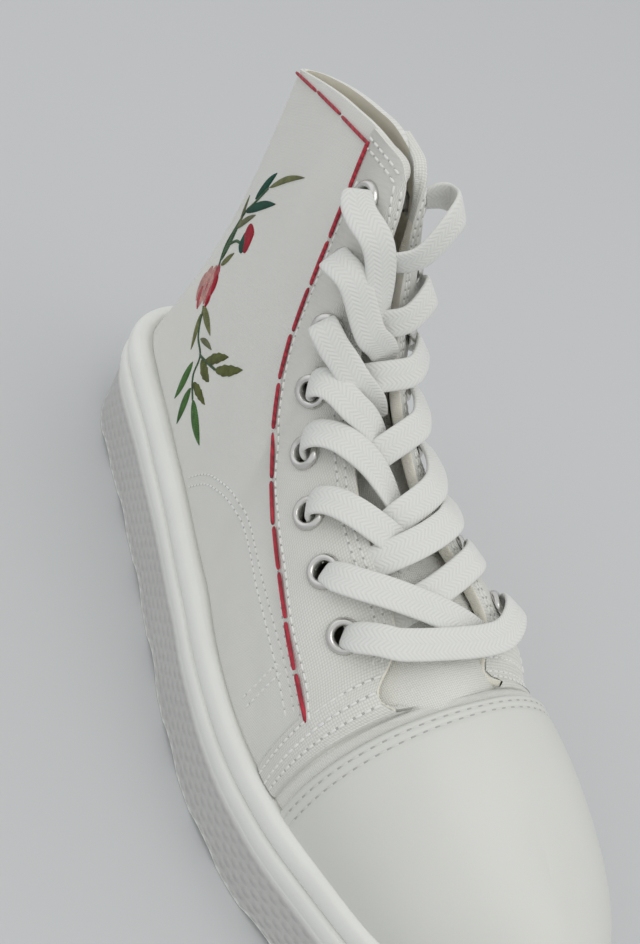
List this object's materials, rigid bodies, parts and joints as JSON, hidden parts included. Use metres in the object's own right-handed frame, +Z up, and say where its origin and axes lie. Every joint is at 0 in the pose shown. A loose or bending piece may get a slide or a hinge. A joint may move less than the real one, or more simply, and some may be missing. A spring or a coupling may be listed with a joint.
{
  "type": "high-top platform sneaker",
  "caption": "High-top canvas sneaker for the right foot on a thick white platform sole, with a smooth toe cap, metal eyelets and flat laces drawn tight over a nearly closed shaft.",
  "frame": {"origin": "on the floor, under the middle of the sole", "axes": "+X towards the toe, +Y towards the inner (medial) side, +Z up"},
  "size_m": [0.2794, 0.098, 0.1701],
  "materials": {
    "sole_rubber": "white moulded rubber, satin, with a fine raised texture on the side band",
    "canvas": "off-white cotton canvas, matte, with red running stitches and an embroidered sprig",
    "coated_toe": "smooth off-white coated leather, soft sheen",
    "lining": "beige cotton lining",
    "eyelet_metal": "bright nickel-plated metal",
    "lace": "white flat woven cotton"
  },
  "bodies": {
    "root": {"outsole": "sole_rubber", "midsole": "sole_rubber", "welt": "sole_rubber", "insole": "lining", "upper": "canvas", "toe_cap": "coated_toe", "tongue": "canvas", "eyestay_lateral": "canvas", "eyestay_medial": "canvas", "lace_bar": "lace", "lace_cross_2": "lace", "lace_cross_3": "lace", "lace_cross_4": "lace", "lace_cross_5": "lace", "lace_cross_6": "lace", "lace_cross_7": "lace", "lace_cross_8": "lace", "eyelet_lateral_1": "eyelet_metal", "eyelet_lateral_2": "eyelet_metal", "eyelet_lateral_3": "eyelet_metal", "eyelet_lateral_4": "eyelet_metal", "eyelet_lateral_5": "eyelet_metal", "eyelet_lateral_6": "eyelet_metal", "eyelet_lateral_7": "eyelet_metal", "eyelet_lateral_8": "eyelet_metal", "eyelet_medial_1": "eyelet_metal", "eyelet_medial_2": "eyelet_metal", "eyelet_medial_3": "eyelet_metal", "eyelet_medial_4": "eyelet_metal", "eyelet_medial_5": "eyelet_metal", "eyelet_medial_6": "eyelet_metal", "eyelet_medial_7": "eyelet_metal", "eyelet_medial_8": "eyelet_metal"}
  },
  "joints": []
}
